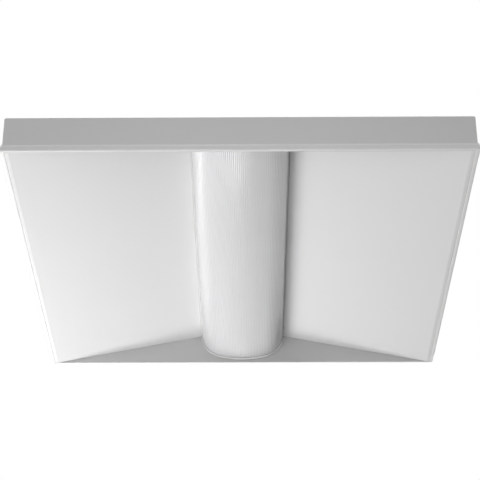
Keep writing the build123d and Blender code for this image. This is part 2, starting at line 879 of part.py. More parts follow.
def input_lead_points(offset):
    """Short lead from the driver to the plug, square to both, with a slight bow."""
    end_y = plug_y + plug_length / 2
    x = driver_x + offset
    return [
        (x, input_exit, terminal_z),
        (x, input_exit - lead_straight, terminal_z),
        (x + lead_bow, (input_exit + end_y) / 2, terminal_z - lead_sag),
        (x, end_y + lead_straight, terminal_z),
        (x, end_y, terminal_z),
    ]


barrel_start = screw_head_radius + barrel_gap
barrel_end = barrel_start + barrel_length


def from_ground(distance):
    """Point at a distance from the ground screw along its terminal's barrel."""
    turn = math.radians(barrel_angle)
    x = ground_x + distance * math.cos(turn)
    y = ground_y + distance * math.sin(turn)
    return (x, y, pan_under - barrel_radius - barrel_drop)


ground_exit_x = driver_x + 2 * lead_pitch
ground_points = [
    (ground_exit_x, input_exit, terminal_z),
    (ground_exit_x, input_exit - lead_straight, terminal_z),
    (ground_exit_x + ground_bend_x, input_exit - lead_straight - ground_bend_y, terminal_z + ground_bend_z),
    from_ground(barrel_end + ground_straight),
    from_ground(barrel_end),
]


def supply_plug():
    """Plug half that meets the building's wires, held against the pan."""
    body = Pos(driver_x, plug_y, pan_under - plug_height / 2) * Box(plug_width, plug_length, plug_height)
    body = fillet(body.edges().filter_by(Axis.Y), sheet_bend)
    for offset in (-lead_pitch, 0, lead_pitch):
        hole = Rot(90, 0, 0) * Cylinder(lead_diameter / 2, plug_length / 2)
        body -= Pos(driver_x + offset, plug_y - plug_length / 2, terminal_z) * hole
    return body


def lead_clips(leads):
    """Clips on the pan that hold the two output leads."""
    pieces = []
    half = lead_clip_size / 2
    for start, end in zip(clipped_points, clipped_points[1:]):
        x, y, z = [(a + b) / 2 for a, b in zip(start, end)]
        body = block(x - half, x + half, y - lead_pitch - half, y + half, z - lead_diameter, pan_under)
        for points in leads:
            body -= swept(points, lead_diameter / 2 + slot_clearance)
        pieces.append(body)
    return gather(pieces)


def jumper_leads():
    """Two straight leads between the connectors of the two rows."""
    start = board_x - connector_length / 2
    pieces = []
    for y in (-lead_pitch / 2, lead_pitch / 2):
        tube = Rot(0, 90, 0) * Cylinder(lead_diameter / 2, 2 * start)
        pieces.append(Pos(0, connector_y + y, lead_level) * tube)
    return gather(pieces)


def ground_terminal():
    """Ring terminal under the ground screw, with its barrel."""
    ring_low = pan_under - steel
    ring = drum(ground_x, ground_y, ring_low, pan_under, screw_head_radius)
    tongue = Pos((screw_radius + barrel_end) / 2, 0) * Rectangle(barrel_end - screw_radius, 2 * barrel_radius)
    ring += Pos(ground_x, ground_y, ring_low) * Rot(0, 0, barrel_angle) * extrude(tongue, amount=steel)
    hole = screw_radius + shank_clearance
    ring -= drum(ground_x, ground_y, ring_low - cut_margin, pan_under + cut_margin, hole)
    direction = Vector(*from_ground(barrel_end)) - Vector(*from_ground(barrel_start))
    along = Plane(origin=from_ground(barrel_start + barrel_length / 2), z_dir=direction)
    return ring + along * Cylinder(barrel_radius, barrel_length)


# ---- Ceiling fixings ----
def grid_clip():
    """Clip that points along +Y from its rivet, with a finger tab."""
    half = grid_clip_width / 2
    low = pan_top + grid_clip_lift
    high = low + grid_clip_sheet
    clip = block(-half, half, 0, grid_clip_length, low, high)
    clip += drum(0, 0, low, high, half)
    tip = grid_clip_length
    clip += block(-half, half, tip - grid_clip_sheet, tip, low, high + grid_clip_tab)
    return clip - drum(0, 0, low - cut_margin, high + cut_margin, rivet_radius + shank_clearance)


def placed_grid_clip(place):
    x, y = place
    turn = 0 if y < 0 else 180
    return Pos(x, y, 0) * Rot(0, 0, turn) * grid_clip()


def grid_clip_rivets():
    pieces = []
    clip_top = pan_top + grid_clip_lift + grid_clip_sheet + shank_clearance
    for x, y in grid_clip_places:
        rivet = drum(x, y, pan_under - rivet_head_height, clip_top + rivet_head_height, rivet_radius)
        head = drum(x, y, clip_top, clip_top + rivet_head_height, rivet_head_radius)
        rivet += fillet(head.faces().sort_by(Axis.Z)[-1].edges(), rivet_head_round)
        rivet += drum(x, y, pan_under - rivet_head_height, pan_under, rivet_tail_radius)
        pieces.append(rivet)
    return gather(pieces)


# ---- Screw groups ----
def housing_screws():
    pieces = [large_screw((x, y, housing_height), (0, 0, 1)) for x, y in end_screw_places]
    head = lip_reach - steel
    for x, y in corners(wall_x, side_screw_y):
        seat = (x, y, side_screw_z)
        axis = (math.copysign(1, x), 0, 0)
        pieces.append(screw(seat, axis, screw_radius, screw_head_radius, head, screw_length))
    return gather(pieces)


def tray_screws():
    return gather([large_screw((x, y, pan_top), (0, 0, 1)) for x, y in tray_screw_places])


def cover_screws():
    return gather([large_screw((x, y, housing_height), (0, 0, 1)) for x, y in cover_screw_places])


def driver_screws():
    low = pan_under - driver_sheet
    return gather([large_screw((x, y, low), (0, 0, -1)) for x, y in driver_screw_places])


def build():
    nodes = {
        "housing_pan": housing_pan(),
        "end_wall_near": end_wall(-1),
        "end_wall_far": end_wall_far(),
        "end_plate_near": end_plate(-1),
        "end_plate_far": end_plate(1),
        "side_trim_right": side_trim(),
        "side_trim_left": left_of(side_trim()),
        "end_trim_near": end_trim(-1, near_corner_radius),
        "end_trim_far": end_trim(1, far_corner_radius),
        "reflector_right": reflector(),
        "reflector_left": left_of(reflector()),
        "wiring_cover": wiring_cover(),
        "lens": lens(),
        "lens_cap_near": lens_cap(-1),
        "lens_cap_far": lens_cap(1),
        "hinge_rail": hinge_rail(),
        "latch_rail": latch_rail(),
        "cap_screws": cap_screws(),
        "led_tray": led_tray(),
        "led_chips": led_chips(),
        "board_connectors": board_connectors(),
        "board_links": board_links(),
        "board_screws": board_screws(),
        "spring_catches": spring_catches(),
        "driver_lid": driver_lid(),
        "driver_case": driver_case(),
        "driver_circuit": driver_circuit(),
        "driver_output_terminals": terminal_block(1),
        "driver_input_terminals": terminal_block(-1),
        "supply_plug": supply_plug(),
        "jumper_leads": jumper_leads(),
        "ground_terminal": ground_terminal(),
        "grid_clip_rivets": grid_clip_rivets(),
        "housing_screws": housing_screws(),
        "tray_screws": tray_screws(),
        "cover_screws": cover_screws(),
        "driver_screws": driver_screws(),
        "ground_screw": large_screw((ground_x, ground_y, pan_under - steel), (0, 0, -1)),
    }
    for index, place in enumerate(board_centres(), start=1):
        nodes[f"led_board_{index}"] = led_board(place)
    for index, place in enumerate(grid_clip_places, start=1):
        nodes[f"grid_clip_{index}"] = placed_grid_clip(place)
    for index, y in enumerate((-strap_y, strap_y), start=1):
        nodes[f"strap_right_{index}"] = Pos(0, y, 0) * reflector_strap()
        nodes[f"strap_left_{index}"] = Pos(0, y, 0) * left_of(reflector_strap())
    return nodes


def build_leads():
    routes = {
        "output_lead_positive": output_points,
        "output_lead_negative": beside(output_points),
        "line_lead": input_lead_points(-lead_pitch),
        "neutral_lead": input_lead_points(lead_pitch),
        "ground_lead": ground_points,
    }
    nodes = {name: lead(name, points) for name, points in routes.items()}
    nodes["lead_clips"] = lead_clips([output_points, beside(output_points)])
    return nodes


os.makedirs("parts", exist_ok=True)
for node, shape in {**build(), **build_leads()}.items():
    export_step(shape, f"parts/{node}.step")
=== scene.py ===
"""Looks of a two-foot recessed troffer light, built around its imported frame.

Lengths are metres in the frame of the CAD model: X across the lens, Y along it and Z up into
the ceiling, with the face of the light on z = 0.
"""

import json
import logging
import math
from dataclasses import dataclass
from enum import Enum, IntEnum
from typing import Any, Callable, Mapping, Sequence

import bpy
from mathutils import Matrix, Vector


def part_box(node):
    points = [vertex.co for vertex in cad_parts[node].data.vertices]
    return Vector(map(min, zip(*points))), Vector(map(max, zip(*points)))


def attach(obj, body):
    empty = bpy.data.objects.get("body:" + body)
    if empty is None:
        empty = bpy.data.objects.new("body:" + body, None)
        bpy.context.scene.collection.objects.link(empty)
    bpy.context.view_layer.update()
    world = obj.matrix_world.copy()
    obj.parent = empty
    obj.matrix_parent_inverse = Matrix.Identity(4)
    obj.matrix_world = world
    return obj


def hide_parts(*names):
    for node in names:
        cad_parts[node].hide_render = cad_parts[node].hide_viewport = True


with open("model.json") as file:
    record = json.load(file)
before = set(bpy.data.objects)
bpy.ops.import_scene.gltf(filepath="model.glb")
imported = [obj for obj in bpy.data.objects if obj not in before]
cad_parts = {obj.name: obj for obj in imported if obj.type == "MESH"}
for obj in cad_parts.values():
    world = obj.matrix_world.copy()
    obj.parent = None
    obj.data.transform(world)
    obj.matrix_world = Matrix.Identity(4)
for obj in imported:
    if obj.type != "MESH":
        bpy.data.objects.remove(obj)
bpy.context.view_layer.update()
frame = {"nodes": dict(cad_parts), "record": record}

log = logging.getLogger("troffer")

MM = 0.001
# Pixels along one side of the photograph.
PHOTO_SIDE = 480
WHITE = "FFFFFF"
# Points nearer to each other than this are one.
WELD = 0.005 * MM
# A face looks along an axis when its normal has at least this much of it, and is square to the
# axis when its normal has at most the second amount.
FACING = 0.9
SQUARE = 0.1

# Knee, slope, offset and power of the sRGB curve, as its standard gives them.
SRGB_KNEE = 0.04045
SRGB_SLOPE = 12.92
SRGB_OFFSET = 0.055
SRGB_POWER = 2.4

# Sockets of a Mix node set to colour: its factor, its two colours and its result.
MIX_FACTOR, MIX_FIRST, MIX_SECOND, MIX_RESULT = 0, 6, 7, 2
# Octaves of the noise that makes the grain, and of the one that makes the slow patches.
GRAIN_OCTAVES = 2.0
PATCH_OCTAVES = 3.0

Point = tuple[float, float, float]
Socket = bpy.types.NodeSocket
FaceTest = Callable[[bpy.types.MeshPolygon], bool]


class Body(str, Enum):
    """Bodies of the light that modelled pieces ride on."""

    HOUSING = "housing"
    LENS_FRAME = "lens_frame"


class Axis(IntEnum):
    """Axes of the frame, by their place in a vector."""

    X = 0
    Y = 1
    Z = 2


class Element(str, Enum):
    """Kinds of element that edit mode selects, by Blender's names for them."""

    POINT = "VERT"
    FACE = "FACE"


class Lay(str, Enum):
    """Ways in which a lead lies."""

    LOOSE = "loose"
    TAUT = "taut"


# ---- Colours and nodes ----
def linear(hex_colour: str) -> tuple[float, float, float, float]:
    """Turn an sRGB hex colour into linear light.

    Args:
        hex_colour: Six hex digits, red first.

    Returns:
        Red, green, blue and an alpha of one.
    """
    values = []
    for start in (0, 2, 4):
        share = int(hex_colour[start : start + 2], 16) / 255
        curved = ((share + SRGB_OFFSET) / (1 + SRGB_OFFSET)) ** SRGB_POWER
        values.append(share / SRGB_SLOPE if share <= SRGB_KNEE else curved)
    return (values[0], values[1], values[2], 1.0)


def add_node(
    tree: bpy.types.NodeTree,
    kind: str,
    settings: Mapping[str, Any] | None = None,
    inputs: Mapping[str | int, Any] | None = None,
) -> bpy.types.Node:
    """Add one node with its settings, values and links.

    Args:
        tree: Node tree that takes the node.
        kind: Type name of the node.
        settings: Properties of the node by name.
        inputs: Value or linked output of each input socket, by name or index.

    Returns:
        The new node.
    """
    node = tree.nodes.new(kind)
    for name, value in (settings or {}).items():
        setattr(node, name, value)
    for name, value in (inputs or {}).items():
        if isinstance(value, Socket):
            tree.links.new(value, node.inputs[name])
        else:
            node.inputs[name].default_value = value
    return node


@dataclass(frozen=True)
class Finish:
    """A finish of one real material.

    Attributes:
        name: Name of the material.
        colour: sRGB hex colour of the clean surface.
        worn: sRGB hex colour of the faint variation over it.
        metallic: Metalness of the surface.
        roughness: Mean roughness.
        spread: How far the roughness varies to each side.
        grain_mm: Size of the surface's texture.
        relief_mm: Height of that texture.
        patch_mm: Size of the slow variation of colour and roughness.
        stretch: How many times longer the texture is along Y than across it.
        coat: Weight of the clear layer.
        coat_roughness: Roughness of the clear layer.
        subsurface: Weight of the light that passes below the surface.
        ior: Index of refraction, or None for a metal.
    """

    name: str
    colour: str
    worn: str
    metallic: float = 0.0
    roughness: float = 0.5
    spread: float = 0.05
    grain_mm: float = 2.0
    relief_mm: float = 0.02
    patch_mm: float = 90.0
    stretch: float = 1.0
    coat: float = 0.0
    coat_roughness: float = 0.1
    subsurface: float = 0.0
    ior: float | None = 1.5

    def noise(self, tree: bpy.types.NodeTree, size_mm: float, detail: float) -> Socket:
        """Noise on Object coordinates at a real size.

        Args:
            tree: Node tree of the material.
            size_mm: Size of one lump.
            detail: Octaves of finer lumps.

        Returns:
            The output that holds the noise, from 0 to 1.
        """
        place = add_node(tree, "ShaderNodeTexCoord")
        scale = 1 / (size_mm * MM)
        mapping = add_node(
            tree, "ShaderNodeMapping",
            inputs={"Vector": place.outputs["Object"], "Scale": (scale, scale / self.stretch, scale)},
        )
        noise = add_node(
            tree, "ShaderNodeTexNoise",
            inputs={"Vector": mapping.outputs["Vector"], "Scale": 1.0, "Detail": detail},
        )
        return noise.outputs["Fac"]

    def pattern(self, tree: bpy.types.NodeTree) -> Socket:
        """Texture that gives the surface its relief.

        Args:
            tree: Node tree of the material.

        Returns:
            The output that holds the height, from 0 to 1.
        """
        return self.noise(tree, self.grain_mm, GRAIN_OCTAVES)

    def make(self) -> bpy.types.Material:
        """Build the material once and reuse it afterwards.

        Returns:
            The Blender material.
        """
        found = bpy.data.materials.get(self.name)
        if found is not None:
            return found
        material = bpy.data.materials.new(self.name)
        material.use_nodes = True
        tree = material.node_tree
        tree.nodes.clear()
        patch = self.noise(tree, self.patch_mm, PATCH_OCTAVES)
        colour = add_node(
            tree, "ShaderNodeMix", {"data_type": "RGBA"},
            {MIX_FACTOR: patch, MIX_FIRST: linear(self.colour), MIX_SECOND: linear(self.worn)},
        )
        rough = add_node(
            tree, "ShaderNodeMapRange",
            inputs={
                "Value": patch,
                "To Min": self.roughness - self.spread,
                "To Max": self.roughness + self.spread,
            },
        )
        bump = add_node(
            tree, "ShaderNodeBump",
            inputs={"Height": self.pattern(tree), "Distance": self.relief_mm * MM, "Strength": 1.0},
        )
        shader = add_node(
            tree, "ShaderNodeBsdfPrincipled",
            inputs={
                "Base Color": colour.outputs[MIX_RESULT],
                "Metallic": self.metallic,
                "Roughness": rough.outputs["Result"],
                "Normal": bump.outputs["Normal"],
                "Coat Weight": self.coat,
                "Coat Roughness": self.coat_roughness,
                "Subsurface Weight": self.subsurface,
                "Subsurface Radius": (1.0, 1.0, 1.0),
                "Subsurface Scale": MM,
            },
        )
        if self.ior is not None:
            shader.inputs["IOR"].default_value = self.ior
        add_node(tree, "ShaderNodeOutputMaterial", inputs={"Surface": shader.outputs["BSDF"]})
        return material


@dataclass(frozen=True)
class SpangledZinc(Finish):
    """Hot-dip galvanised sheet: flat crystals of zinc, each a little lighter or darker."""

    def pattern(self, tree: bpy.types.NodeTree) -> Socket:
        """Crystals of the zinc as a cell pattern.

        Args:
            tree: Node tree of the material.

        Returns:
            The output that holds the height, highest at a crystal's edge.
        """
        place = add_node(tree, "ShaderNodeTexCoord")
        cells = add_node(
            tree, "ShaderNodeTexVoronoi",
            inputs={"Vector": place.outputs["Object"], "Scale": 1 / (self.grain_mm * MM)},
        )
        return cells.outputs["Distance"]


# Powder coat is plastic paint sprayed as powder and baked: an even satin white with a fine
# orange peel. The peel is about 1 mm across and is drawn coarser so that it shows.
HOUSING_COAT = Finish(
    "satin white powder coat, housing", "EBEBEB", "E9E9E9", roughness=0.48, grain_mm=2.5,
    relief_mm=0.012,
)
# The trim is the same powder as the walls, set a little smoother; its colour is painted a little whiter
# as painted light, for the extra light that falls on its lip.
TRIM_COAT_WITH_PAINTED_LIGHT = Finish(
    "satin white powder coat, trim, whitened as painted light", "F5F5F5", "F3F3F3", roughness=0.42, grain_mm=2.5,
    relief_mm=0.010,
)
# Reflector paint is loaded with titanium white and dries flat: no highlight, only soft shade.
REFLECTOR_COAT = Finish(
    "matt white reflector paint", "EFEFEF", "EDEDED", roughness=0.62, grain_mm=2.0, relief_mm=0.010,
    patch_mm=140.0,
)
# The end plates take the same white paint as the housing; their colour is darkened to a flat pale grey
# as painted shade, for the shade that falls on them deep in the recess.
END_PLATE_COAT_WITH_PAINTED_SHADE = Finish(
    "matt pale grey end plate paint", "C9C9C9", "C6C6C6", roughness=0.6, grain_mm=2.0,
    relief_mm=0.010,
)
# Extruded aluminium under powder: the die lines still show as faint streaks along the rail.
RAIL_COAT = Finish(
    "white powder coat on extruded aluminium", "ECECEB", "E8E8E8", roughness=0.45, grain_mm=2.5,
    relief_mm=0.008, stretch=6.0,
)
# Pressed steel under powder: plain white, with the peel a little deeper than on the trim.
CAP_COAT = Finish(
    "white powder coat on pressed steel", "EAEAEA", "E6E6E6", roughness=0.45, grain_mm=2.5,
    relief_mm=0.010,
)
# Extruded acrylic with a white diffusing filler: light goes a little way in, the skin keeps a
# soft gloss that draws one broad highlight along the lens, and faint die lines run along it.
LENS_ACRYLIC = Finish(
    "frosted extruded acrylic", "D2D2D4", "D0D0D2", roughness=0.24, spread=0.02, grain_mm=3.0,
    relief_mm=0.004, stretch=30.0, subsurface=0.08, coat=1.0, coat_roughness=0.16, ior=1.49,
)
# Zinc electroplate with a clear passivate: bright, cool and a little cloudy.
ZINC_PLATE = Finish(
    "bright zinc plated steel", "C9CCD0", "B9BDC2", metallic=1.0, roughness=0.28, grain_mm=1.2,
    relief_mm=0.01, patch_mm=12.0, ior=None,
)
# The ground screw's zinc is dyed green: metal that glints through a green film.
GREEN_ZINC = Finish(
    "green dyed zinc plated steel", "2F8A4A", "277A40", metallic=0.6, roughness=0.34, grain_mm=1.2,
    relief_mm=0.01, patch_mm=8.0,
)
# Hot-dip zinc freezes in flat crystals about 9 mm across, each with its own shine.
GALVANISED = SpangledZinc(
    "galvanised steel sheet", "B7BCC1", "A4AAB0", metallic=1.0, roughness=0.4, spread=0.12,
    grain_mm=9.0, relief_mm=0.03, patch_mm=14.0, ior=None,
)
# Blued and oiled strip: dark, smooth metal with rolling lines along it.
SPRING_STEEL = Finish(
    "tempered spring steel", "7E828A", "6D7178", metallic=1.0, roughness=0.3, grain_mm=0.8,
    relief_mm=0.008, patch_mm=10.0, stretch=4.0, ior=None,
)
# Sheet as it leaves the rolls: soft streaked mirror, its lines along the tray.
MILL_ALUMINIUM = Finish(
    "mill finish aluminium sheet", "D3D6D9", "C6C9CD", metallic=1.0, roughness=0.36, spread=0.08,
    grain_mm=0.8, relief_mm=0.012, patch_mm=60.0, stretch=60.0, ior=None,
)
# Printed ink on a flat board: warm white with a low sheen.
BOARD_MASK = Finish(
    "white solder mask on aluminium board", "F1F1EC", "ECECE6", roughness=0.4, grain_mm=0.8,
    relief_mm=0.006, patch_mm=40.0,
)
# Yellow phosphor grains set in clear silicone: a pale yellow window with a wet shine.
PHOSPHOR = Finish(
    "phosphor under clear silicone", "EBCB4E", "E4BE3C", roughness=0.25, spread=0.03, grain_mm=0.4,
    relief_mm=0.01, patch_mm=3.0, coat=0.5, subsurface=0.2,
)
# Package cups are glossy white PPA, a nylon filled with titanium white.
PACKAGE = Finish(
    "white PPA of LED packages", "F4F3EE", "EFEEE8", roughness=0.3, grain_mm=0.5, relief_mm=0.004,
    patch_mm=4.0,
)
# Undyed nylon from the mould: creamy, half matt, and slightly waxy where light enters an edge.
NYLON = Finish(
    "moulded natural nylon", "E7E3D6", "DFDBCD", roughness=0.45, grain_mm=0.9, relief_mm=0.015,
    patch_mm=12.0, subsurface=0.1,
)
# Enamel flows before it sets: a smooth off-white skin with a thin gloss on top.
ENAMEL = Finish(
    "white baked enamel on steel can", "DDDCD6", "D6D5CF", roughness=0.35, grain_mm=1.8,
    relief_mm=0.012, patch_mm=50.0, coat=0.2,
)
# Green ink over glass cloth: deep green under a clear gloss, with a trace of the cloth.
GREEN_MASK = Finish(
    "green solder mask on glass fibre board", "1F6A38", "195A2F", roughness=0.35, grain_mm=0.7,
    relief_mm=0.01, patch_mm=16.0, coat=0.3,
)
# Coloured nylon from the mould: strong orange, half matt, with a fine sparked grain.
ORANGE_NYLON = Finish(
    "moulded orange nylon", "E8741E", "DB6A18", roughness=0.4, grain_mm=0.9, relief_mm=0.012,
    patch_mm=10.0,
)


def pvc_sleeve(dye: str, colour: str, worn: str, roughness: float = 0.4) -> Finish:
    """Extruded PVC of a wire sleeve: smooth and dully glossy, the colour even all along.

    Args:
        dye: Plain name of the colour.
        colour: sRGB hex colour.
        worn: sRGB hex colour of its faint variation.
        roughness: Mean roughness.

    Returns:
        The finish.
    """
    return Finish(
        f"{dye} PVC wire sleeve", colour, worn, roughness=roughness, grain_mm=0.5, relief_mm=0.008,
        patch_mm=25.0,
    )


RED_PVC = pvc_sleeve("red", "C01F1C", "AF1B19", 0.38)
BLACK_PVC = pvc_sleeve("black", "1C1C1D", "242425")
WHITE_PVC = pvc_sleeve("white", "E6E6E1", "DDDDD8")
GREEN_PVC = pvc_sleeve("green", "1E7A3C", "196C34", 0.38)

SLOT_FINISHES: dict[str, Finish] = {
    "housing_paint": HOUSING_COAT,
    # The trim's colour carries painted light.
    "trim_paint": TRIM_COAT_WITH_PAINTED_LIGHT,
    "reflector_paint": REFLECTOR_COAT,
    # The end plates' colour carries painted shade.
    "end_plate_paint": END_PLATE_COAT_WITH_PAINTED_SHADE,
    "lens_acrylic": LENS_ACRYLIC,
    "rail_paint": RAIL_COAT,
    "cap_paint": CAP_COAT,
    "zinc_plate": ZINC_PLATE,
    "galvanised": GALVANISED,
    "spring_steel": SPRING_STEEL,
    "tray_aluminium": MILL_ALUMINIUM,
    "board_white": BOARD_MASK,
    "chip_phosphor": PHOSPHOR,
    "connector_plastic": NYLON,
    "driver_enamel": ENAMEL,
    "circuit_green": GREEN_MASK,
    "plug_orange": ORANGE_NYLON,
    "lead_red": RED_PVC,
    "lead_black": BLACK_PVC,
    "lead_white": WHITE_PVC,
    "lead_green": GREEN_PVC,
    "green_zinc": GREEN_ZINC,
}


def dress(piece: bpy.types.Object, finish: Finish) -> None:
    """Give a piece one finish all over.

    Args:
        piece: Mesh or curve object.
        finish: Finish that it takes.
    """
    piece.data.materials.clear()
    piece.data.materials.append(finish.make())


def dress_nodes() -> None:
    """Give every CAD node the finish of its material slot."""
    for part in frame["record"]["subparts"]:
        dress(frame["nodes"][part["node"]], SLOT_FINISHES[part["material_slot"]])


# ---- Modelling by hand ----
def clear_selection() -> None:
    """Leave nothing selected and no mesh in edit mode."""
    if bpy.context.object is not None and bpy.context.object.mode != "OBJECT":
        bpy.ops.object.mode_set(mode="OBJECT")
    bpy.ops.object.select_all(action="DESELECT")


def start_piece(name: str, add: Callable[..., Any], **settings: Any) -> bpy.types.Object:
    """Add a primitive alone and name it.

    Args:
        name: Name of the piece.
        add: Operator that adds the primitive.
        **settings: Size, place and counts of the primitive.

    Returns:
        The new object, active and selected.
    """
    clear_selection()
    add(**settings)
    piece = bpy.context.object
    piece.name = name
    piece.data.name = name
    return piece


def weld(piece: bpy.types.Object) -> None:
    """Merge the doubled points of a piece.

    Args:
        piece: Mesh object.
    """
    make_active(piece)
    bpy.ops.object.mode_set(mode="EDIT")
    bpy.ops.mesh.select_all(action="SELECT")
    bpy.ops.mesh.remove_doubles(threshold=WELD)
    bpy.ops.object.mode_set(mode="OBJECT")


def make_active(piece: bpy.types.Object) -> None:
    """Select one piece alone and make it the active one.

    Args:
        piece: Object that the next operators act on.
    """
    clear_selection()
    piece.select_set(True)
    bpy.context.view_layer.objects.active = piece


def join_pieces(name: str, parts: Sequence[bpy.types.Object]) -> bpy.types.Object:
    """Join meshes into one piece.

    Args:
        name: Name of the joined piece.
        parts: Mesh objects, whose places are applied first.

    Returns:
        The joined piece.
    """
    clear_selection()
    for part in parts:
        part.select_set(True)
    bpy.context.view_layer.objects.active = parts[0]
    bpy.ops.object.transform_apply(location=True, rotation=True, scale=True)
    if len(parts) > 1:
        bpy.ops.object.join()
    piece = bpy.context.object
    piece.name = name
    piece.data.name = name
    return piece


def select_where(piece: bpy.types.Object, element: Element, wanted: Callable[[Any], bool]) -> None:
    """Enter edit mode with the points or faces selected that a test picks.

    Args:
        piece: Mesh object.
        element: Whether points or faces are selected.
        wanted: Test of one of them.
    """
    make_active(piece)
    bpy.ops.object.mode_set(mode="EDIT")
    bpy.ops.mesh.select_mode(type=element.value)
    bpy.ops.mesh.select_all(action="DESELECT")
    bpy.ops.object.mode_set(mode="OBJECT")
    for item in piece.data.vertices if element is Element.POINT else piece.data.polygons:
        item.select = wanted(item)
    bpy.ops.object.mode_set(mode="EDIT")


def add_modifier(piece: bpy.types.Object, kind: str, **settings: Any) -> None:
    """Add a modifier to a piece and apply it.

    Args:
        piece: Mesh object.
        kind: Type of the modifier.
        **settings: Its properties.
    """
    make_active(piece)
    modifier = piece.modifiers.new(kind.lower(), kind)
    for name, value in settings.items():
        setattr(modifier, name, value)
    bpy.ops.object.modifier_apply(modifier=modifier.name)


def start_box(name: str, low: Vector, high: Vector) -> bpy.types.Object:
    """Add a box between two corners, as the start of a piece.

    Args:
        name: Name of the piece.
        low: Lowest corner.
        high: Highest corner.

    Returns:
        The box, with its place in its mesh.
    """
    piece = start_piece(
        name, bpy.ops.mesh.primitive_cube_add, size=1.0, location=(low + high) / 2, scale=high - low
    )
    bpy.ops.object.transform_apply(location=True, rotation=True, scale=True)
    return piece


def cut_lines(piece: bpy.types.Object, axis: Axis, places: Sequence[float]) -> None:
    """Bisect a piece by planes square to one axis.

    Args:
        piece: Mesh object.
        axis: Axis that the planes are square to.
        places: Where each plane stands on that axis.
    """
    make_active(piece)
    bpy.ops.object.mode_set(mode="EDIT")
    for place in places:
        point = [0.0, 0.0, 0.0]
        point[axis] = place
        normal = [0.0, 0.0, 0.0]
        normal[axis] = 1.0
        bpy.ops.mesh.select_all(action="SELECT")
        bpy.ops.mesh.bisect(plane_co=point, plane_no=normal)
    bpy.ops.object.mode_set(mode="OBJECT")


def push_faces(piece: bpy.types.Object, wanted: FaceTest, move: Vector, margin: float = 0.0) -> None:
    """Inset some faces, if a margin is given, and extrude them.

    Args:
        piece: Mesh object.
        wanted: Test that picks the faces.
        move: How far and which way they are extruded.
        margin: Width of the inset.
    """
    select_where(piece, Element.FACE, wanted)
    if margin:
        bpy.ops.mesh.inset(thickness=margin, depth=0)
    bpy.ops.mesh.extrude_region_move(TRANSFORM_OT_translate={"value": move})
    bpy.ops.object.mode_set(mode="OBJECT")


def soften(piece: bpy.types.Object, width: float, segments: int = 2) -> None:
    """Round the sharp edges of a piece.

    Args:
        piece: Mesh object.
        width: Width of the rounding.
        segments: Faces across it.
    """
    add_modifier(piece, "BEVEL", width=width, segments=segments, limit_method="ANGLE")


def repeat_piece(name: str, piece: bpy.types.Object, moves: Sequence[Vector]) -> bpy.types.Object:
    """Copy a piece to several places, each copy with its own mesh, and join the copies.

    Args:
        name: Name of the joined piece.
        piece: Piece modelled at the origin, which is used up.
        moves: Place of each copy.

    Returns:
        The joined piece.
    """
    copies = []
    for move in moves:
        copy = piece.copy()
        copy.data = piece.data.copy()
        copy.location = move
        bpy.context.scene.collection.objects.link(copy)
        copies.append(copy)
    bpy.data.objects.remove(piece)
    return join_pieces(name, copies)


def settle(
    piece: bpy.types.Object, body: Body, slot: str, *nodes: str, smooth_deg: float = 35.0
) -> None:
    """Settle a piece at the origin, smooth it, dress it and let it stand for CAD nodes.

    Args:
        piece: Mesh object.
        body: Body that carries it.
        slot: Material slot of the record, which gives its finish.
        *nodes: Nodes that it replaces.
        smooth_deg: Edges sharper than this angle stay crisp.
    """
    make_active(piece)
    bpy.ops.object.transform_apply(location=True, rotation=True, scale=True)
    bpy.ops.object.shade_smooth_by_angle(angle=math.radians(smooth_deg))
    dress(piece, SLOT_FINISHES[slot])
    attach(piece, body.value)
    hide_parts(*nodes)
    log.info("%s: %d faces", piece.name, len(piece.data.polygons))


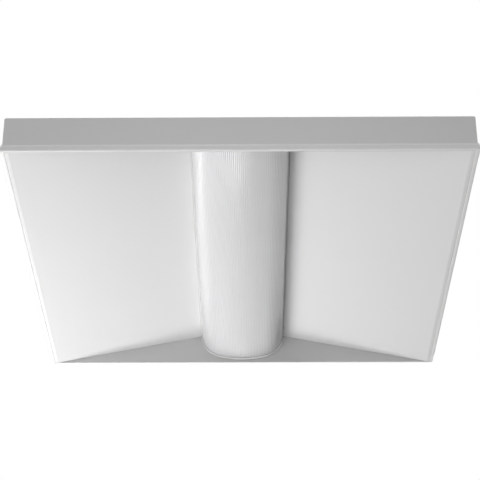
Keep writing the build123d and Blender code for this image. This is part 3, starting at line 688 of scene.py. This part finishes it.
# ---- Lens ----
@dataclass
class RibbedLens:
    """The extruded diffuser: nearly flat below, round at both sides, ribbed outside and smooth inside.

    Attributes:
        bottom_radius: Outer radius of the flat arc below, over the ribs.
        corner_radius: Outer radius of the two side arcs, over the ribs.
        thickness: Wall from the inner face to the crests.
        rib_pitch: Width of one rib.
        rib_depth: Height of a rib over its valleys.
        rib_end_deg: Angle from straight down where the ribs end and the plain edge begins.
        steps: Faces across one rib.
        smooth_deg: Edges sharper than this angle stay crisp.
    """

    bottom_radius: float = 148.6 * MM
    corner_radius: float = 34.6 * MM
    thickness: float = 2.0 * MM
    rib_pitch: float = 2.54 * MM
    rib_depth: float = 0.4 * MM
    rib_end_deg: float = 84.0
    steps: int = 6
    smooth_deg: float = 30.0

    def __post_init__(self) -> None:
        """Work out the axes of the arcs from the box of the lens in the frame."""
        low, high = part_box("lens")
        self.half_length = high.y
        self.top_z = high.z
        self.corner_x = high.x - self.corner_radius
        reach = self.bottom_radius - self.corner_radius
        self.corner_turn = math.asin(self.corner_x / reach)
        self.bottom_z = low.z + self.bottom_radius
        self.corner_z = self.bottom_z - reach * math.cos(self.corner_turn)

    def strip(
        self, centre: tuple[float, float], radius: float, turns: tuple[float, float], ribbed: bool
    ) -> bpy.types.Object:
        """Model one rib's section at the far end and spin its copies along an arc.

        Args:
            centre: X and Z of the arc's axis.
            radius: Radius over the crests.
            turns: First and last angle from straight down, in radians.
            ribbed: Whether the strip has ribs or a plain face.

        Returns:
            The strip, flat on the far end of the lens.
        """
        first, last = turns
        count = round((last - first) * radius / self.rib_pitch) if ribbed else 1
        step = (last - first) / count
        piece = start_piece(
            "lens_strip", bpy.ops.mesh.primitive_grid_add, x_subdivisions=self.steps, y_subdivisions=1,
            size=1.0, location=(0, 0, 0),
        )
        # The grid is one unit wide about its middle. Each rib is an arch from valley to valley, and
        # the plain face drops to the last valley at its first points.
        for vertex in piece.data.vertices:
            share = vertex.co.x + 0.5
            depth = (1 - math.sin(math.pi * share)) * self.rib_depth if ribbed else 0.0
            if not ribbed and share < 0.5 / self.steps:
                depth = self.rib_depth
            distance = radius - depth if vertex.co.y > 0 else radius - self.thickness
            turn = first + share * step
            x = centre[0] + distance * math.sin(turn)
            vertex.co = (x, self.half_length, centre[1] - distance * math.cos(turn))
        if count > 1:
            bpy.ops.object.mode_set(mode="EDIT")
            bpy.ops.mesh.select_all(action="SELECT")
            bpy.ops.mesh.spin(
                steps=count - 1, dupli=True, angle=step * (count - 1), center=(centre[0], 0, centre[1]),
                axis=(0, 1, 0),
            )
            bpy.ops.object.mode_set(mode="OBJECT")
        return piece

    def build(self) -> None:
        """Join the strips of one half, raise its edge, mirror it and extrude the whole section."""
        corner = (self.corner_x, self.corner_z)
        rib_end = math.radians(self.rib_end_deg)
        strips = [
            self.strip((0.0, self.bottom_z), self.bottom_radius, (0.0, self.corner_turn), ribbed=True),
            self.strip(corner, self.corner_radius, (self.corner_turn, rib_end), ribbed=True),
            self.strip(corner, self.corner_radius, (rib_end, math.pi / 2), ribbed=False),
        ]
        piece = join_pieces("ribbed_lens", strips)
        weld(piece)
        select_where(piece, Element.POINT, lambda vertex: vertex.co.z > self.corner_z - WELD)
        bpy.ops.mesh.extrude_region_move(
            TRANSFORM_OT_translate={"value": (0, 0, self.top_z - self.corner_z)}
        )
        bpy.ops.object.mode_set(mode="OBJECT")
        add_modifier(piece, "MIRROR", merge_threshold=WELD)
        bpy.ops.object.mode_set(mode="EDIT")
        bpy.ops.mesh.select_all(action="SELECT")
        bpy.ops.mesh.extrude_region_move(
            TRANSFORM_OT_translate={"value": (0, -2 * self.half_length, 0)}
        )
        bpy.ops.mesh.select_all(action="SELECT")
        bpy.ops.mesh.normals_make_consistent(inside=False)
        bpy.ops.object.mode_set(mode="OBJECT")
        settle(piece, Body.LENS_FRAME, "lens_acrylic", "lens", smooth_deg=self.smooth_deg)


# ---- LED tray ----
@dataclass
class LedPackages:
    """The LEDs: white moulded cups with a yellow window, in rows on the four boards.

    Attributes:
        size: Length along X, length along Y and height of one package.
        boards: Number of boards.
        per_board: Pitches along one board.
        screws_per_board: Screws along one board.
        screw_room: Distance kept from a screw to a package's middle.
        rim: Wall of the cup round its window.
        sink: Depth of the window below the rim.
        edge: Rounding of the cup.
    """

    size: Point = (2.8 * MM, 3.5 * MM, 0.7 * MM)
    boards: int = 4
    per_board: int = 24
    screws_per_board: int = 3
    screw_room: float = 4.25 * MM
    rim: float = 0.4 * MM
    sink: float = 0.15 * MM
    edge: float = 0.12 * MM

    @staticmethod
    def spread(middle: float, length: float, count: int) -> list[float]:
        """Spread places evenly over a length, half a pitch in from its ends.

        Args:
            middle: Middle of the length.
            length: The length.
            count: How many places.

        Returns:
            The places, lowest first.
        """
        return [middle + (index - (count - 1) / 2) * length / count for index in range(count)]

    def places(self) -> list[Vector]:
        """Middles of the packages, left out under the screws and the connectors.

        Returns:
            Points on the underside of the boards.
        """
        plug_low, plug_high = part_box("board_connectors")
        plug_y = (plug_low.y + plug_high.y) / 2
        plug_room = (plug_high.y - plug_low.y + self.size[1]) / 2
        found = []
        for board in range(1, self.boards + 1):
            low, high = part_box(f"led_board_{board}")
            length = high.y - low.y
            middle = (low + high) / 2
            screws = self.spread(middle.y, length, self.screws_per_board)
            clear = [(y, self.screw_room) for y in screws] + [(plug_y, plug_room)]
            for y in self.spread(middle.y, length, self.per_board):
                if all(abs(y - place) >= room for place, room in clear):
                    found.append(Vector((middle.x, y, low.z)))
        return found

    def build(self) -> None:
        """Model one package with its window sunk from below, and copy it along the boards."""
        half = Vector((self.size[0] / 2, self.size[1] / 2, 0))
        low = Vector((-half.x, -half.y, -self.size[2]))
        cup = start_box("led_cup", low, half)
        push_faces(cup, lambda face: face.normal.z < -FACING, Vector((0, 0, self.sink)), self.rim)
        window_z = -self.size[2] + self.sink
        soften(cup, self.edge, 1)
        cup.data.materials.append(PACKAGE.make())
        cup.data.materials.append(PHOSPHOR.make())
        for face in cup.data.polygons:
            inside = max(abs(face.center.x) - half.x, abs(face.center.y) - half.y) < -self.rim
            sunk = face.normal.z < -FACING and abs(face.center.z - window_z) < WELD
            face.material_index = int(inside and sunk)
        packages = repeat_piece("led_packages", cup, self.places())
        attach(packages, Body.HOUSING.value)
        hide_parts("led_chips")
        log.info("%s: %d faces", packages.name, len(packages.data.polygons))


# ---- Moulded blocks with wire entries ----
@dataclass
class PortedBlock:
    """Moulded block with square wire entries in one or two opposite faces.

    Attributes:
        name: Name of the piece.
        low: Lowest corner.
        high: Highest corner.
        axis: Axis along which the leads enter, X or Y.
        entries: For each way along the axis (-1 or 1), the place of every entry across it.
        entry_z: Height of the entries.
        entry_side: Side of one entry.
        entry_depth: Depth of one entry.
        edge: Rounding of the block's edges.
        buttons: Whether a release button stands below each entry.
        button_span: Start and end of a button from the face with the entries, in entry sides.
        button_height: How far a button stands out.
        button_margin: Step round a button.
        seams: Places along the axis where a groove runs round the block.
        seam_half: Half the width of a groove.
        seam_depth: Depth of a groove.
    """

    name: str
    low: Vector
    high: Vector
    axis: Axis
    entries: Mapping[int, Sequence[float]]
    entry_z: float
    entry_side: float = 2.6 * MM
    entry_depth: float = 3.0 * MM
    edge: float = 0.35 * MM
    buttons: bool = False
    button_span: tuple[float, float] = (2.0, 3.0)
    button_height: float = 0.5 * MM
    button_margin: float = 0.25 * MM
    seams: Sequence[float] = ()
    seam_half: float = 0.3 * MM
    seam_depth: float = 0.4 * MM

    @property
    def across(self) -> Axis:
        """Level axis square to the leads."""
        return Axis.Y if self.axis is Axis.X else Axis.X

    def beside(self, face: bpy.types.MeshPolygon, centres: Sequence[float]) -> bool:
        """Whether a face lies in line with one of the entries, measured across the leads."""
        return any(abs(face.center[self.across] - centre) < self.entry_side / 2 for centre in centres)

    def build(self) -> bpy.types.Object:
        """Cut the block's faces into a grid, sink the entries and add its buttons and seams.

        Returns:
            The block.
        """
        piece = start_box(self.name, self.low, self.high)
        half = self.entry_side / 2
        every = sorted({place for places in self.entries.values() for place in places})
        cut_lines(piece, self.across, [place + side * half for place in every for side in (-1, 1)])
        cut_lines(piece, Axis.Z, [self.entry_z - half, self.entry_z + half])
        for way, places in self.entries.items():
            inward = Vector((0, 0, 0))
            inward[self.axis] = -way * self.entry_depth
            push_faces(
                piece,
                lambda face: face.normal[self.axis] * way > FACING and self.beside(face, places)
                and abs(face.center.z - self.entry_z) < half,
                inward,
            )
        if self.buttons:
            self.raise_buttons(piece)
        for seam in self.seams:
            self.cut_seam(piece, seam)
        soften(piece, self.edge)
        return piece

    def raise_buttons(self, piece: bpy.types.Object) -> None:
        """Raise a release button under each entry, on the block's lower face.

        Args:
            piece: The block.
        """
        far = self.high[self.axis] if 1 in self.entries else self.low[self.axis]
        way = 1 if 1 in self.entries else -1
        stops = [far - way * place * self.entry_side for place in self.button_span]
        cut_lines(piece, self.axis, stops)
        places = self.entries[way]
        push_faces(
            piece,
            lambda face: face.normal.z < -FACING and self.beside(face, places)
            and min(stops) < face.center[self.axis] < max(stops),
            Vector((0, 0, -self.button_height)),
            self.button_margin,
        )

    def cut_seam(self, piece: bpy.types.Object, seam: float) -> None:
        """Sink a narrow groove round the block.

        Args:
            piece: The block.
            seam: Place of the groove along the leads.
        """
        cut_lines(piece, self.axis, [seam - self.seam_half, seam + self.seam_half])
        select_where(
            piece, Element.FACE,
            lambda face: abs(face.normal[self.axis]) < SQUARE
            and abs(face.center[self.axis] - seam) < self.seam_half,
        )
        bpy.ops.mesh.extrude_region_shrink_fatten(
            TRANSFORM_OT_shrink_fatten={"value": -self.seam_depth}
        )
        bpy.ops.object.mode_set(mode="OBJECT")


@dataclass
class Connectors:
    """Board connectors, board links, driver terminals and the supply plug.

    Attributes:
        lead_pitch: Distance between neighbouring leads.
        lead_z: Height of the leads at the board connectors.
        terminal_z: Height of the leads at the driver and the plug.
        output_x: Places of the output leads at the driver.
        input_x: Places of the line, neutral and ground leads at the driver.
        connector_entry: Side of an entry of a board connector.
        link_dish: Depth of the dish below a link.
        link_rim: Width of the rim round that dish.
        link_edge: Rounding of a link.
        plug_depth: Depth of an entry of the supply plug.
        plug_edge: Rounding of the plug.
        plug_seams: Places of the plug's seams, from its middle.
    """

    lead_pitch: float = 4.0 * MM
    lead_z: float = 49.5 * MM
    terminal_z: float = 44.0 * MM
    output_x: tuple[float, ...] = (218.0 * MM, 222.0 * MM)
    input_x: tuple[float, ...] = (221.0 * MM, 229.0 * MM, 233.0 * MM)
    connector_entry: float = 2.3 * MM
    link_dish: float = 0.6 * MM
    link_rim: float = 1.6 * MM
    link_edge: float = 0.3 * MM
    plug_depth: float = 9.0 * MM
    plug_edge: float = 0.8 * MM
    plug_seams: tuple[float, ...] = (-3.0 * MM, 9.0 * MM)

    def halves(self, node: str) -> list[tuple[Vector, Vector]]:
        """Corners of the left and right one of a pair that share a node.

        Args:
            node: Name of the node.

        Returns:
            Lowest and highest corner of each.
        """
        low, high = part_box(node)
        inner = min(abs(point.co.x) for point in frame["nodes"][node].data.vertices)
        return [
            (low, Vector((-inner, high.y, high.z))),
            (Vector((inner, low.y, low.z)), high),
        ]

    def build_pair(self) -> None:
        """Model the two board connectors and the two links.

        The right connector passes the leads on to the left one, so it has entries on both sides.
        """
        blocks = []
        for low, high in self.halves("board_connectors"):
            middle = (low.y + high.y) / 2
            rows = (middle - self.lead_pitch / 2, middle + self.lead_pitch / 2)
            ways = {-1: rows, 1: rows} if low.x > 0 else {1: rows}
            block = PortedBlock(
                "connector", low, high, Axis.X, ways, self.lead_z, entry_side=self.connector_entry
            )
            blocks.append(block.build())
        connectors = join_pieces("lead_connectors", blocks)
        settle(connectors, Body.HOUSING, "connector_plastic", "board_connectors")
        links = []
        for low, high in self.halves("board_links"):
            link = start_box("link", low, high)
            dish = Vector((0, 0, self.link_dish))
            push_faces(link, lambda face: face.normal.z < -FACING, dish, self.link_rim)
            soften(link, self.link_edge)
            links.append(link)
        settle(join_pieces("bridge_links", links), Body.HOUSING, "connector_plastic", "board_links")

    def build_driver_ends(self) -> None:
        """Model the terminal blocks at both ends of the driver."""
        for node, way, places in (
            ("driver_output_terminals", 1, self.output_x), ("driver_input_terminals", -1, self.input_x)
        ):
            low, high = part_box(node)
            name = node.replace("driver_", "push_in_")
            block = PortedBlock(name, low, high, Axis.Y, {way: places}, self.terminal_z, buttons=True)
            settle(block.build(), Body.HOUSING, "connector_plastic", node)

    def build_plug(self) -> None:
        """Model the supply plug: two mated halves with their seam, and entries at both ends."""
        low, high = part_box("supply_plug")
        middle = (low + high) / 2
        supply = [middle.x + step * self.lead_pitch for step in (-1, 0, 1)]
        driver = [middle.x - self.lead_pitch, middle.x + self.lead_pitch]
        plug = PortedBlock(
            "disconnect_plug", low, high, Axis.Y, {-1: supply, 1: driver}, self.terminal_z,
            entry_depth=self.plug_depth, edge=self.plug_edge,
            seams=[middle.y + seam for seam in self.plug_seams],
        )
        settle(plug.build(), Body.HOUSING, "plug_orange", "supply_plug")

    def build(self) -> None:
        """Model all the blocks."""
        self.build_pair()
        self.build_driver_ends()
        self.build_plug()


# ---- Leads ----
@dataclass(frozen=True)
class Lead:
    """One insulated lead that the light holds all along.

    Attributes:
        name: Name of the piece.
        node: Node that it replaces.
        slot: Material slot of the record, which gives the finish of its sleeve.
        length_mm: Its real length.
        route_mm: Points of its route.
        lay: How it lies; not used.
        diameter: Diameter over the sleeve.
        roundness: Bevel resolution of the sleeve.
        steps: Steps of the curve from point to point.
    """

    name: str
    node: str
    slot: str
    length_mm: float
    route_mm: tuple[Point, ...]
    lay: Lay = Lay.LOOSE
    diameter: float = 2.0 * MM
    roundness: int = 3
    steps: int = 12

    def build(self) -> None:
        curve = bpy.data.curves.new(self.name, "CURVE")
        curve.dimensions = "3D"
        curve.bevel_depth = self.diameter / 2
        curve.bevel_resolution = self.roundness
        curve.resolution_u = self.steps
        curve.use_fill_caps = True
        spline = curve.splines.new("NURBS")
        spline.points.add(len(self.route_mm) - 1)
        for point, place in zip(spline.points, self.route_mm):
            point.co = (*(value * MM for value in place), 1.0)
        spline.order_u = 3
        spline.use_endpoint_u = True
        piece = bpy.data.objects.new(self.name, curve)
        bpy.context.scene.collection.objects.link(piece)
        dress(piece, SLOT_FINISHES[self.slot])
        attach(piece, Body.HOUSING.value)
        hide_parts(self.node)
        log.info("%s: %.0f mm", self.name, self.length_mm)


LEADS: tuple[Lead, ...] = (
    Lead("positive_output_lead", "output_lead_positive", "lead_red", 205.4, (
        (222, 261, 44), (222, 272, 44), (210, 283, 44.5), (177, 284, 45.2), (137, 281, 46.6),
        (99, 278, 48.4), (65, 276, 49.5), (31, 276, 49.5),
    )),
    Lead("negative_output_lead", "output_lead_negative", "lead_black", 197.7, (
        (218, 261, 44), (218, 268, 44), (206, 279, 44.5), (173, 280, 45.2), (133, 277, 46.6),
        (95, 274, 48.4), (61, 272, 49.5), (31, 272, 49.5),
    )),
    Lead("line_input_lead", "line_lead", "lead_black", 49.1, (
        (221, -121, 44), (221, -132, 44), (221.9, -145.5, 42.8), (221, -159, 44), (221, -170, 44),
    )),
    Lead("neutral_input_lead", "neutral_lead", "lead_white", 49.1, (
        (229, -121, 44), (229, -132, 44), (229.9, -145.5, 42.8), (229, -159, 44), (229, -170, 44),
    )),
    Lead("earth_lead", "ground_lead", "lead_green", 45.0, (
        (233, -121, 44), (233, -132, 44), (240, -142.5, 46.4), (249.06, -152.06, 49.3),
        (254.717, -157.717, 49.3),
    )),
    Lead("row_jumper_lead_1", "jumper_leads", "lead_white", 34.0, (
        (17, 272, 49.5), (5, 272, 49.5), (-5, 272, 49.5), (-17, 272, 49.5),
    ), lay=Lay.TAUT),
    Lead("row_jumper_lead_2", "jumper_leads", "lead_white", 34.0, (
        (17, 276, 49.5), (5, 276, 49.5), (-5, 276, 49.5), (-17, 276, 49.5),
    ), lay=Lay.TAUT),
)


# ---- Camera, light and floor ----
@dataclass(frozen=True)
class ViewPoint:
    """Camera of the photograph, from the lines of the housing and the face.

    Attributes:
        place: Position of the camera.
        pitch_deg: Tilt upwards from level.
        yaw_deg: Turn to the left of the Y axis.
        roll_deg: Turn about the line of sight.
        focal_px: Focal length in pixels of the photograph.
        sensor_mm: Width of the camera's sensor.
    """

    place: Point = (10.6 * MM, -1916.7 * MM, -1090.8 * MM)
    pitch_deg: float = 30.716
    yaw_deg: float = 0.368
    roll_deg: float = -0.038
    focal_px: float = 1556.3
    sensor_mm: float = 36.0

    def set_up(self) -> None:
        """Make the camera and use it."""
        pitch, yaw, roll = (math.radians(v) for v in (self.pitch_deg, self.yaw_deg, self.roll_deg))
        level = math.cos(pitch)
        forward = Vector((-math.sin(yaw) * level, math.cos(yaw) * level, math.sin(pitch)))
        right = Vector((math.cos(yaw), math.sin(yaw), 0))
        up = right.cross(forward)
        axis_x = math.cos(roll) * right + math.sin(roll) * up
        axis_y = math.cos(roll) * up - math.sin(roll) * right
        turn = Matrix((axis_x, axis_y, -forward)).transposed()
        camera = bpy.data.objects.new("camera", bpy.data.cameras.new("camera"))
        camera.data.sensor_width = self.sensor_mm
        camera.data.lens = self.focal_px / PHOTO_SIDE * self.sensor_mm
        camera.matrix_world = Matrix.Translation(Vector(self.place)) @ turn.to_4x4()
        bpy.context.scene.collection.objects.link(camera)
        bpy.context.scene.camera = camera


@dataclass(frozen=True)
class SoftBox:
    """Square area lamp aimed at the light.

    Attributes:
        name: Name of the lamp.
        place: Position of the lamp.
        side: Side of its square.
        power: Power in watts.
        aim: Point that it faces.
    """

    name: str
    place: Point
    side: float
    power: float
    aim: Point = (0.0, 0.0, 0.02)

    def set_up(self) -> None:
        """Add the lamp."""
        lamp = bpy.data.lights.new(self.name, "AREA")
        lamp.shape = "SQUARE"
        lamp.size = self.side
        lamp.energy = self.power
        holder = bpy.data.objects.new(self.name, lamp)
        direction = Vector(self.aim) - Vector(self.place)
        holder.location = self.place
        holder.rotation_euler = direction.to_track_quat("-Z", "Y").to_euler()
        holder.visible_camera = False
        bpy.context.scene.collection.objects.link(holder)


@dataclass(frozen=True)
class Studio:
    """Plain pale room: a floor far below the light, a soft world and soft boxes.

    The lamps at the left draw the highlight along the lens and the shadow at its right. The front
    and right ones fill the near wall and the right side, and the last three light the top, the
    right and the back, which the photograph doesn't show.

    Attributes:
        floor_z: Height of the floor.
        floor_side: Side of the floor.
        floor_cells: Squares along a side of the floor.
        floor_colour: sRGB hex colour of the floor.
        floor_roughness: Roughness of the floor's paint.
        ambient: Strength of the world as the object sees it.
        lamps: Soft boxes.
    """

    floor_z: float = -2.6
    floor_side: float = 14.0
    floor_cells: int = 4
    floor_colour: str = "D8D8D6"
    floor_roughness: float = 0.4
    ambient: float = 0.15
    lamps: tuple[SoftBox, ...] = (
        SoftBox("close back left lamp", (-0.8, 0.8, -0.8), 0.7, 8.7),
        SoftBox("middle left lamp", (-0.75, -0.1, -0.75), 0.5, 2.5),
        SoftBox("close left lamp", (-0.6, 0.2, -0.7), 0.5, 1.7),
        SoftBox("far back left lamp", (-1.1, 1.9, -0.5), 1.2, 3.9),
        SoftBox("front left lamp", (-1.6, -1.6, -0.6), 1.4, 3.4),
        SoftBox("front lamp", (0.0, -1.2, -0.3), 0.5, 3.1),
        SoftBox("right lamp", (1.4, 0.0, -1.8), 1.4, 1.4),
        SoftBox("top lamp", (0.9, 1.2, 2.2), 1.8, 30.0),
        SoftBox("right side lamp", (2.0, 0.2, 0.5), 1.2, 9.0),
        SoftBox("back side lamp", (-0.3, 2.2, 0.5), 1.2, 9.0),
    )

    def set_up(self) -> None:
        """Make the floor, the world and the lamps, and set the plain view transform."""
        scene = bpy.context.scene
        scene.view_settings.view_transform = "Standard"
        for lamp in self.lamps:
            lamp.set_up()
        self.make_world(scene)
        self.make_floor()

    @staticmethod
    def seen_white(tree: bpy.types.NodeTree, lit: Socket, output_kind: str, surface: str) -> None:
        """Show plain white to the camera, in mirrors and through glass, and lit to other rays.

        Args:
            tree: Node tree of the floor or the world.
            lit: Shader that lights the object.
            output_kind: Type name of the output node.
            surface: Shader type name that gives the plain white.
        """
        path = add_node(tree, "ShaderNodeLightPath")
        first = add_node(
            tree, "ShaderNodeMath", {"operation": "MAXIMUM"},
            {0: path.outputs["Is Camera Ray"], 1: path.outputs["Is Glossy Ray"]},
        )
        both = add_node(
            tree, "ShaderNodeMath", {"operation": "MAXIMUM"},
            {0: first.outputs[0], 1: path.outputs["Is Transmission Ray"]},
        )
        plain = add_node(tree, surface, inputs={"Color": linear(WHITE), "Strength": 1.0})
        mix = add_node(
            tree, "ShaderNodeMixShader", inputs={0: both.outputs[0], 1: lit, 2: plain.outputs[0]}
        )
        add_node(tree, output_kind, inputs={"Surface": mix.outputs[0]})

    def make_world(self, scene: bpy.types.Scene) -> None:
        """Give the world its soft light and a white look.

        Args:
            scene: Scene that takes the world.
        """
        world = bpy.data.worlds.new("room")
        scene.world = world
        world.use_nodes = True
        tree = world.node_tree
        tree.nodes.clear()
        inputs = {"Color": linear(WHITE), "Strength": self.ambient}
        lit = add_node(tree, "ShaderNodeBackground", inputs=inputs)
        self.seen_white(tree, lit.outputs[0], "ShaderNodeOutputWorld", "ShaderNodeBackground")

    def make_floor(self) -> None:
        """Lay the pale floor."""
        floor = start_piece(
            "room_floor", bpy.ops.mesh.primitive_grid_add, x_subdivisions=self.floor_cells,
            y_subdivisions=self.floor_cells, size=self.floor_side, location=(0, 0, self.floor_z),
        )
        material = bpy.data.materials.new("pale painted floor")
        material.use_nodes = True
        tree = material.node_tree
        tree.nodes.clear()
        inputs = {"Color": linear(self.floor_colour), "Roughness": self.floor_roughness}
        lit = add_node(tree, "ShaderNodeBsdfDiffuse", inputs=inputs)
        self.seen_white(tree, lit.outputs[0], "ShaderNodeOutputMaterial", "ShaderNodeEmission")
        floor.data.materials.append(material)


def main() -> None:
    """Build and dress the light in order."""
    logging.basicConfig(level=logging.INFO, format="%(name)s %(message)s")
    ViewPoint().set_up()
    Studio().set_up()
    dress_nodes()
    for lead in LEADS:
        lead.build()
    RibbedLens().build()
    LedPackages().build()
    Connectors().build()


if __name__ == "__main__":
    main()
